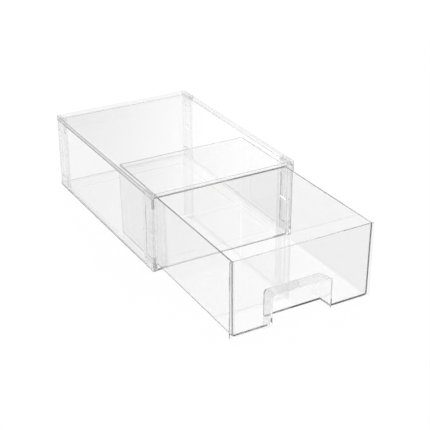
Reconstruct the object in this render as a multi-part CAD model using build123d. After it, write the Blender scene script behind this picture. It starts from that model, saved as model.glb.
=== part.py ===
"""Stackable drawer box in clear plastic.

A knocked-down case (lid and base panels, four hollow corner posts and three
thin sheets held in grooves) round one moulded drawer with a finger recess.
The foot of one box nests in the raised rim on the lid of the box below.

Millimetres, +Z up, the drawer opens towards -Y.  The origin is the centre of
the case's footprint, on the surface that the box stands on.
"""
import os

from build123d import *

# Case, outside
case_width = 210.0
case_depth = 304.0
case_height = 110.0
corner_radius = 0.8

# Top panel: a sheet sunk in a raised rim, with a cored block over each post
lid_thickness = 2.0
lid_recess = 4.1
lid_rim_thickness = 1.2
lid_corner_radius = 0.6
block_wall = 1.2
block_cells = 3
edge_round = 0.5

# Bottom panel: a foot, a skirt round it and a land that the posts stand on
base_thickness = 2.4
foot_height = 1.2
nest_gap = 0.4
rim_thickness = 2.4
bottom_rim_height = 5.0
land_height = 0.8
land_side_width = 21.0
land_front_width = 20.0
land_rear_width = 26.0
field_radius = 2.0

# Corner posts
post_width = 5.6
post_depth = 26.0
guide_width = 2.2
guide_setback = 2.6
post_web = 2.0

# Pockets in the posts and the panels' pegs in them
front_pocket_width = 4.4
front_pocket_outer_wall = 2.0
front_pocket_front_wall = 5.0
rear_pocket_width = 3.2
rear_pocket_outer_wall = 1.2
rear_pocket_front_wall = 6.0
pocket_length = 15.0
pocket_radius = 0.8
peg_length = 16.0
peg_tip = 0.5

# Sheets and their grooves
sheet_thickness = 1.8
groove_depth = 2.5

# Clearances
seat_gap = 0.1
sheet_gap = 0.15
peg_gap = 0.15
plate_side_gap = 0.4
tub_side_gap = 0.4
tub_rear_gap = 0.5
slide_gap = 0.3
stop_gap = 0.4
drawer_top_gap = 1.6

# Drawer
wall = 2.0
floor_thickness = 2.0
plate_drop = 2.0
plate_radius = 1.0
plate_round = 0.6
side_draft = 1.0
side_taper = 2.2
rear_draft = 2.5
tub_radius = 4.0
inner_radius = 2.0
floor_fillet = 1.8
bottom_round = 3.0
pulled_out = 182.5

# Finger recess in the drawer's front
recess_width = 83.0
recess_height = 39.0
recess_depth = 20.0
recess_side_draft = 2.0
recess_top_draft = 3.0
recess_radius = 3.5

# Levels and planes that several pieces share
front = -case_depth / 2
rear = case_depth / 2
side = case_width / 2
land_top = base_thickness + land_height
lid_sheet_top = case_height - lid_recess
lid_sheet_under = lid_sheet_top - lid_thickness
post_inner = side - post_width
guide_inner = post_inner - guide_width
sheet_bottom = land_top + seat_gap
sheet_top = lid_sheet_under - seat_gap
sheet_outer = side - rim_thickness - sheet_gap
back_sheet_outer = rear - rim_thickness - sheet_gap
above = 5.0  # how far a cutting tool reaches past the face that it cuts


def slab(x0, x1, y0, y1, z0, z1):
    """A plain block between two opposite corners."""
    place = Pos((x0 + x1) / 2, (y0 + y1) / 2, (z0 + z1) / 2)
    return place * Box(x1 - x0, y1 - y0, z1 - z0)


def plan(x0, x1, y0, y1, radius=0.0):
    """A rectangle seen from above, with round corners if a radius is given."""
    shape = Rectangle(x1 - x0, y1 - y0)
    if radius:
        shape = fillet(shape.vertices(), radius)
    return Pos((x0 + x1) / 2, (y0 + y1) / 2) * shape


def raise_plan(shape, z0, z1):
    """A flat plan pulled up from one level to another."""
    return extrude(Pos(0, 0, z0) * shape, z1 - z0)


def pocket_plan(at_front, gap=0.0):
    """The left post's pocket from above, or the peg that fits it with a gap."""
    if at_front:
        x0 = -side + front_pocket_outer_wall
        x1 = x0 + front_pocket_width
        y0 = front + front_pocket_front_wall
    else:
        x0 = -side + rear_pocket_outer_wall
        x1 = x0 + rear_pocket_width
        y0 = rear - post_depth + rear_pocket_front_wall
    y1 = y0 + pocket_length
    return plan(x0 + gap, x1 - gap, y0 + gap, y1 - gap, pocket_radius - gap)


def both_sides(shape):
    """A left-hand shape with its mirror image on the right."""
    return shape + mirror(shape, Plane.YZ)


def post(at_front):
    """A left corner post: a hollow column with grooves, open at both ends."""
    y0 = front if at_front else rear - post_depth
    y1 = y0 + post_depth
    outline = plan(-side, -post_inner, y0, y1)
    if at_front:
        # The rear part is wider: it guides the tub and stops the drawer's plate.
        outline += plan(-side, -guide_inner, y0 + guide_setback, y1)
    outer_corners = outline.vertices().filter_by(lambda v: abs(v.X + side) < 1e-6)
    outline = fillet(outer_corners, corner_radius)

    groove_side = plan(
        -sheet_outer - sheet_gap,
        -sheet_outer + sheet_thickness + sheet_gap,
        y1 - groove_depth if at_front else y0 - above,
        y1 + above if at_front else y0 + groove_depth,
    )
    outline -= groove_side
    if not at_front:
        outline -= plan(
            -post_inner - groove_depth,
            -post_inner + above,
            back_sheet_outer - sheet_thickness - sheet_gap,
            back_sheet_outer + sheet_gap,
        )
    column = raise_plan(outline, sheet_bottom, sheet_top)

    # Cored from both ends, with a web left half-way up.
    middle = (sheet_bottom + sheet_top) / 2
    hollow = pocket_plan(at_front)
    column -= raise_plan(hollow, sheet_bottom - above, middle - post_web / 2)
    column -= raise_plan(hollow, middle + post_web / 2, sheet_top + above)
    return column


def corner_zones(gap):
    """The plan of the four posts, with room round them, reaching out past the case."""
    y1 = front + post_depth + gap
    corner = plan(-side - above, -post_inner + gap, front - above, y1)
    return both_sides(corner + mirror(corner, Plane.XZ))


def nest_plan(gap=0.0):
    """The hollow within the lid's rim and blocks, or the foot that nests in it with a gap."""
    edge = lid_rim_thickness + gap
    hollow = plan(-side + edge, side - edge, front + edge, rear - edge) - corner_zones(gap)
    return fillet(hollow.vertices(), lid_corner_radius)


def cell_plans():
    """The cells cored into the lid's four corner blocks."""
    pitch = (post_depth - lid_rim_thickness) / block_cells
    left = None
    for i in range(block_cells):
        y0 = front + lid_rim_thickness + i * pitch
        cell = plan(-side + lid_rim_thickness, -post_inner - block_wall, y0, y0 + pitch - block_wall)
        left = cell if left is None else left + cell
    return both_sides(left + mirror(left, Plane.XZ))


def pegs(z_root, direction):
    """Four tapered pegs that stand on a panel and plug into the posts."""
    left = None
    for at_front in (True, False):
        root = Pos(0, 0, z_root) * pocket_plan(at_front, peg_gap)
        peg = extrude(root, peg_length, dir=(0, 0, direction))
        tip = peg.edges().group_by(Axis.Z)[-1 if direction > 0 else 0]
        peg = chamfer(tip, peg_tip)
        left = peg if left is None else left + peg
    return both_sides(left)


def top_panel():
    """The lid: a sunk sheet in a raised rim, cored corner blocks, and pegs below."""
    outline = plan(-side, side, front, rear, corner_radius)
    lid = raise_plan(outline, lid_sheet_under, case_height)
    lid = fillet(lid.edges().group_by(Axis.Z)[-1], edge_round)
    lid -= raise_plan(nest_plan(), lid_sheet_top, case_height + above)
    lid -= raise_plan(cell_plans(), lid_sheet_top, case_height + above)
    return lid + pegs(lid_sheet_under, -1)


def bottom_panel():
    """The base: a foot, a skirt, a raised land round the floor, a rim turned up, and pegs."""
    outline = plan(-side, side, front, rear, corner_radius)
    base = raise_plan(nest_plan(nest_gap), 0, foot_height) + raise_plan(outline, foot_height, land_top)
    # Between the front posts the base stands back to make room for the drawer's plate.
    base -= raise_plan(
        plan(-post_inner, post_inner, front - above, front + guide_setback), -above, land_top + above
    )
    base -= raise_plan(
        plan(
            -side + land_side_width,
            side - land_side_width,
            front + land_front_width,
            rear - land_rear_width,
            field_radius,
        ),
        base_thickness,
        land_top + above,
    )
    hollow = plan(-side + rim_thickness, side - rim_thickness, front - above, rear - rim_thickness)
    rim = raise_plan(outline - hollow - corner_zones(seat_gap), land_top, bottom_rim_height)
    return base + rim + pegs(land_top, 1)


def side_sheet():
    """The left wall: a thin sheet held in the grooves of two posts."""
    reach = case_depth / 2 - post_depth + groove_depth - sheet_gap
    return slab(
        -sheet_outer, -sheet_outer + sheet_thickness, -reach, reach, sheet_bottom, sheet_top
    )


def back_sheet():
    """The rear wall: a thin sheet held in the grooves of the rear posts."""
    reach = post_inner + groove_depth - sheet_gap
    return slab(
        -reach, reach, back_sheet_outer - sheet_thickness, back_sheet_outer, sheet_bottom, sheet_top
    )


# The drawer is made shut and then drawn out.
plate_half = post_inner - plate_side_gap
plate_thickness = guide_setback - stop_gap
tub_under = land_top + slide_gap
tub_top = lid_sheet_under - drawer_top_gap
tub_half = guide_inner - tub_side_gap
tub_rear = back_sheet_outer - sheet_thickness - tub_rear_gap
plate_under = tub_under - plate_drop


def tub_loft(inset, z_low, radius):
    """The tub's drafted body, brought in by an inset, from z_low to its lip."""
    share = (z_low - tub_under) / (tub_top - tub_under)
    y0 = front + inset * plate_thickness / wall
    sections = []
    for z, part in ((z_low, share), (tub_top, 1.0)):
        half = tub_half - side_draft * (1 - part) - inset
        y1 = tub_rear - rear_draft * (1 - part) - inset
        narrow = half - side_taper
        outline = Polyline((-half, y0), (half, y0), (narrow, y1), (-narrow, y1), close=True)
        corners = make_face(outline).vertices()
        sections.append(Pos(0, 0, z) * fillet(corners, radius))
    return loft(sections)


def recess_face(y, grow):
    """The recess in a plane across the drawer, its upper corners rounded."""
    run = (y - front) / recess_depth
    half = recess_width / 2 - recess_side_draft * run + grow
    top = tub_under + recess_height - recess_top_draft * run + grow
    low = plate_under - above
    outline = Polyline((-half, low), (-half, top), (half, top), (half, low), close=True)
    face = make_face(outline)
    upper = face.vertices().group_by(Axis.Y)[-1]
    face = fillet(upper, recess_radius + grow)
    return Plane(origin=(0, y, 0), x_dir=(1, 0, 0), z_dir=(0, -1, 0)) * face


def recess_loft(y0, y1, grow):
    """The recess as a solid between two planes across the drawer."""
    return loft([recess_face(y0, grow), recess_face(y1, grow)])


def drawer():
    """One moulding: front plate, tub and the finger recess let into the front."""
    plate_plan = RectangleRounded(2 * plate_half, tub_top - plate_under, plate_radius)
    centre = (0, front + plate_thickness, (tub_top + plate_under) / 2)
    plate_plane = Plane(origin=centre, x_dir=(1, 0, 0), z_dir=(0, -1, 0))
    plate = extrude(plate_plane * plate_plan, plate_thickness)
    plate = fillet(plate.edges().group_by(Axis.Y)[0], plate_round)

    outer = tub_loft(0.0, tub_under, tub_radius)
    outer = fillet(outer.edges().group_by(Axis.Z)[0], bottom_round)
    inner = tub_loft(wall, tub_under + floor_thickness, inner_radius)
    inner = fillet(inner.edges().group_by(Axis.Z)[0], floor_fillet)

    hood = recess_loft(front, front + recess_depth + wall, wall) & outer
    finger_space = recess_loft(front - above, front + recess_depth, 0.0)
    shut = plate + (outer - inner) + hood - finger_space
    return Pos(0, -pulled_out, 0) * shut


nodes = {
    "top_panel": top_panel(),
    "bottom_panel": bottom_panel(),
    "front_left_post": post(at_front=True),
    "front_right_post": mirror(post(at_front=True), Plane.YZ),
    "rear_left_post": post(at_front=False),
    "rear_right_post": mirror(post(at_front=False), Plane.YZ),
    "left_side_sheet": side_sheet(),
    "right_side_sheet": mirror(side_sheet(), Plane.YZ),
    "back_sheet": back_sheet(),
    "drawer": drawer(),
}

os.makedirs("parts", exist_ok=True)
for name, shape in nodes.items():
    export_step(shape, f"parts/{name}.step")
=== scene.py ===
import math

import bpy
from mathutils import Matrix, Vector

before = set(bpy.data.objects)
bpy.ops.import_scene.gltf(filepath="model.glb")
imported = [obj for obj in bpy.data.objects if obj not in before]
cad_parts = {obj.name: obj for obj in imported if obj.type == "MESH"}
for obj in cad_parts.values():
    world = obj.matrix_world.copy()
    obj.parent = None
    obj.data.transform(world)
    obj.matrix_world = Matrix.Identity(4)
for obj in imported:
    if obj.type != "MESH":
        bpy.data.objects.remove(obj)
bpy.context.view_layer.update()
scene = bpy.context.scene
print("frame loaded:", len(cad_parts), "pieces")


class Wire:
    # A shader socket that can be used in sums like a number.
    def __init__(self, tree, socket):
        self.tree = tree
        self.socket = socket

    def sum(self, operation, first, second):
        return self.tree.add("ShaderNodeMath", {"operation": operation}, {0: first, 1: second})

    def __add__(self, other):
        return self.sum("ADD", self, other)

    def __radd__(self, other):
        return self.sum("ADD", other, self)

    def __sub__(self, other):
        return self.sum("SUBTRACT", self, other)

    def __rsub__(self, other):
        return self.sum("SUBTRACT", other, self)

    def __mul__(self, other):
        return self.sum("MULTIPLY", self, other)

    def __rmul__(self, other):
        return self.sum("MULTIPLY", other, self)


class ShaderTree:
    # One material's or world's nodes, each made by add.
    def __init__(self, owner):
        owner.use_nodes = True
        self.nodes = owner.node_tree.nodes
        self.links = owner.node_tree.links
        self.nodes.clear()

    def add(self, kind, settings=None, values=None, output=0):
        node = self.nodes.new(kind)
        for name, value in (settings or {}).items():
            if name == "stops":
                self.setStops(node.color_ramp, value)
            else:
                setattr(node, name, value)
        for name, value in (values or {}).items():
            if isinstance(value, Wire):
                self.links.new(value.socket, node.inputs[name])
            else:
                node.inputs[name].default_value = value
        return Wire(self, node.outputs[output]) if node.outputs else node

    def setStops(self, ramp, stops):
        while len(ramp.elements) < len(stops):
            ramp.elements.new(1.0)
        for element, (place, grey) in zip(ramp.elements, stops):
            element.position = place
            element.color = (grey, grey, grey, 1)


def anyRay(tree, *kinds):
    # 1 for a ray of any of these kinds, 0 for the others.
    found, *others = [tree.add("ShaderNodeLightPath", output="Is " + kind + " Ray") for kind in kinds]
    for other in others:
        found = tree.add("ShaderNodeMath", {"operation": "MAXIMUM"}, {0: found, 1: other})
    return found


def seenRays(tree):
    # What the eye, a mirror or clear plastic sees, apart from light that falls on things.
    return anyRay(tree, "Camera", "Glossy", "Transmission")


# Clear plastic

caseLook = {
    "ior": 1.57,                # polystyrene
    "tint": 0.955,              # grey of the faces, besides the absorption in the thickness
    "absorption": 3.2,          # per metre of plastic, grey
    "roughness": 0.012,
    "haze": 0.015,              # extra roughness in the worn patches
    "waveSize": 0.045,          # broad moulding waviness
    "waveDepth": 0.000006,
    "scuffSize": 0.0022,
    "scuffStretch": 0.08,       # below 1, the scuffs run along Y, the way the drawer slides
    "scuffDepth": 0.0000015,
    "patchSize": 0.027,
    "patchEdge": (0.5, 0.75),   # the levels of noise where a worn patch begins and is full
    "lampTint": 0.93,           # what a face lets through of a lamp's light
}
# The drawer's darker grey is painted shade: it is the same plastic as the case, made darker to stand in
# for darker reflections on it.
drawerLookPaintedShade = {**caseLook, "tint": 0.935}


def noise(tree, place, size, detail, roughness):
    return tree.add(
        "ShaderNodeTexNoise", {"noise_dimensions": "3D"},
        {"Vector": place, "Scale": 1 / size, "Detail": detail, "Roughness": roughness},
    )


def clearPlastic(name, look):
    material = bpy.data.materials.new(name)
    tree = ShaderTree(material)
    place = tree.add("ShaderNodeTexCoord", output="Object")
    stretched = tree.add(
        "ShaderNodeMapping", None, {"Vector": place, "Scale": (1.0, look["scuffStretch"], 1.0)}
    )
    waves = noise(tree, place, look["waveSize"], detail=1.0, roughness=0.4)
    scuffs = noise(tree, stretched, look["scuffSize"], detail=3.0, roughness=0.6)
    patches = noise(tree, place, look["patchSize"], detail=4.0, roughness=0.55)
    begins, full = look["patchEdge"]
    worn = tree.add("ShaderNodeValToRGB", {"stops": [(begins, 0.0), (full, 1.0)]}, {"Fac": patches})
    height = waves * look["waveDepth"] + scuffs * worn * look["scuffDepth"]
    bump = tree.add("ShaderNodeBump", None, {"Height": height, "Strength": 1.0, "Distance": 1.0})
    tint = look["tint"]
    plastic = tree.add(
        "ShaderNodeBsdfPrincipled", None,
        {
            "Base Color": (tint, tint, tint, 1),
            "Roughness": worn * look["haze"] + look["roughness"],
            "IOR": look["ior"],
            "Transmission Weight": 1.0,
            "Normal": bump,
        },
    )
    # Light that falls on things goes straight through, so that the floor shows no hard caustics.
    lampTint = look["lampTint"]
    letThrough = tree.add("ShaderNodeBsdfTransparent", None, {"Color": (lampTint, lampTint, lampTint, 1)})
    surface = tree.add(
        "ShaderNodeMixShader", None, {0: anyRay(tree, "Shadow", "Diffuse"), 1: plastic, 2: letThrough}
    )
    inside = tree.add(
        "ShaderNodeVolumeAbsorption", None, {"Color": (0, 0, 0, 1), "Density": look["absorption"]}
    )
    tree.add("ShaderNodeOutputMaterial", None, {"Surface": surface, "Volume": inside})
    return material


casePlastic = clearPlastic("casePlastic", caseLook)
drawerPlastic = clearPlastic("drawerPlastic", drawerLookPaintedShade)
for nodeName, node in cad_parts.items():
    node.material_slots[0].material = drawerPlastic if nodeName == "drawer" else casePlastic
print("clear plastic made")


# Studio: a white floor, a soft room and a large lamp

floorLook = {
    "size": 12.0,
    "drop": 0.0003,     # a film of air under the box
    "grey": 0.95,
    "glow": 0.94,       # the share of the floor's white that no shadow takes
}


def makeFloor(look):
    half = look["size"] / 2
    z = -look["drop"]
    mesh = bpy.data.meshes.new("studioFloor")
    corners = [(-half, -half, z), (half, -half, z), (half, half, z), (-half, half, z)]
    mesh.from_pydata(corners, [], [(0, 1, 2, 3)])
    floor = bpy.data.objects.new("studioFloor", mesh)
    scene.collection.objects.link(floor)
    material = bpy.data.materials.new("floorWhite")
    tree = ShaderTree(material)
    grey = look["grey"]
    matt = tree.add("ShaderNodeBsdfDiffuse", None, {"Color": (grey, grey, grey, 1)})
    white = tree.add("ShaderNodeEmission", None, {"Color": (1, 1, 1, 1), "Strength": 1.0})
    surface = tree.add("ShaderNodeMixShader", None, {0: seenRays(tree) * look["glow"], 1: matt, 2: white})
    tree.add("ShaderNodeOutputMaterial", None, {"Surface": surface})
    mesh.materials.append(material)


roomLook = {
    "light": 0.8,               # what falls on things from all round
    "ceiling": 0.7,             # seen by plastic and mirrors, beside the white of the walls
    "wallTop": (0.15, 0.30),    # sines of the heights where the walls give way to the ceiling
    # Azimuth from +Y towards +X, height, inner and outer radius, all in degrees, then strength.
    "softBoxes": [
        (62.0, 30.0, 20.0, 38.0, 1.95),
        (-110.0, 40.0, 25.0, 50.0, 0.9),
    ],
}


def pointing(azimuth, rise):
    # The direction at an azimuth from +Y towards +X and a height above level, in degrees.
    turn, lift = math.radians(azimuth), math.radians(rise)
    return (math.sin(turn) * math.cos(lift), math.cos(turn) * math.cos(lift), math.sin(lift))


def rising(tree, value, begins, full, top=1.0):
    # A smooth step from 0 to top while the value goes from begins to full.
    return tree.add(
        "ShaderNodeMapRange", {"interpolation_type": "SMOOTHSTEP"},
        {"Value": value, "From Min": begins, "From Max": full, "To Min": 0.0, "To Max": top},
    )


def makeRoom(look):
    world = bpy.data.worlds.new("room")
    scene.world = world
    tree = ShaderTree(world)
    direction = tree.add("ShaderNodeTexCoord", output="Generated")
    height = tree.add("ShaderNodeSeparateXYZ", None, {0: direction}, output="Z")
    above = look["ceiling"]
    for azimuth, rise, inner, outer, strength in look["softBoxes"]:
        facing = tree.add(
            "ShaderNodeVectorMath", {"operation": "DOT_PRODUCT"},
            {0: direction, 1: pointing(azimuth, rise)}, output="Value",
        )
        begins, full = math.cos(math.radians(outer)), math.cos(math.radians(inner))
        above = above + rising(tree, facing, begins, full, strength - look["ceiling"])
    overhead = rising(tree, height, *look["wallTop"])
    shade = 1 - overhead + overhead * above
    # The eye sees plain white all round.
    seen = tree.add("ShaderNodeMath", {"operation": "MAXIMUM"}, {0: shade, 1: anyRay(tree, "Camera")})
    background = tree.add("ShaderNodeBackground", None, {"Color": (1, 1, 1, 1), "Strength": seen})
    light = tree.add("ShaderNodeBackground", None, {"Color": (1, 1, 1, 1), "Strength": look["light"]})
    surface = tree.add("ShaderNodeMixShader", None, {0: seenRays(tree), 1: light, 2: background})
    tree.add("ShaderNodeOutputWorld", None, {"Surface": surface})


lampLook = {
    "power": 30.0,
    "size": 1.6,
    "place": (0.9, 1.2, 1.9),
}


def makeLamp(look):
    lamp = bpy.data.lights.new("softLamp", "AREA")
    lamp.shape = "SQUARE"
    lamp.size = look["size"]
    lamp.energy = look["power"]
    holder = bpy.data.objects.new("softLamp", lamp)
    holder.visible_glossy = False   # the plastic mirrors the room's soft boxes instead
    holder.visible_transmission = False
    scene.collection.objects.link(holder)
    place = Vector(look["place"])
    turn = (-place).to_track_quat("-Z", "Y").to_matrix().to_4x4()
    holder.matrix_world = Matrix.Translation(place) @ turn


makeFloor(floorLook)
makeRoom(roomLook)
makeLamp(lampLook)
print("studio made")


# Camera

cameraLook = {
    "turn": -29.60,     # degrees round the box, from straight in front
    "rise": 26.88,      # degrees above level
    "distance": 1.4062,
    "aim": (0.0, -0.152, 0.0525),
    "moveRight": -0.0128,
    "moveUp": 0.0037,
    "lens": 90.96,
    "sensor": 36.0,
    "bounces": 200,     # light that enters an edge runs the length of a wall in a hundred or more
}


def makeCamera(look):
    turn = math.radians(look["turn"])
    rise = math.radians(look["rise"])
    back = Vector((math.sin(turn) * math.cos(rise), -math.cos(turn) * math.cos(rise), math.sin(rise)))
    right = Vector((math.cos(turn), math.sin(turn), 0.0))
    up = back.cross(right)
    place = Vector(look["aim"]) + back * look["distance"]
    place += right * look["moveRight"] + up * look["moveUp"]
    camera = bpy.data.cameras.new("photoCamera")
    camera.lens = look["lens"]
    camera.sensor_width = look["sensor"]
    holder = bpy.data.objects.new("photoCamera", camera)
    scene.collection.objects.link(holder)
    turned = Matrix((right, up, back)).transposed().to_4x4()
    holder.matrix_world = Matrix.Translation(place) @ turned
    scene.camera = holder
    scene.view_settings.view_transform = "Standard"
    scene.cycles.max_bounces = look["bounces"]
    scene.cycles.transmission_bounces = look["bounces"]
    scene.cycles.glossy_bounces = look["bounces"]
    scene.cycles.transparent_max_bounces = look["bounces"]


makeCamera(cameraLook)
print("camera set")
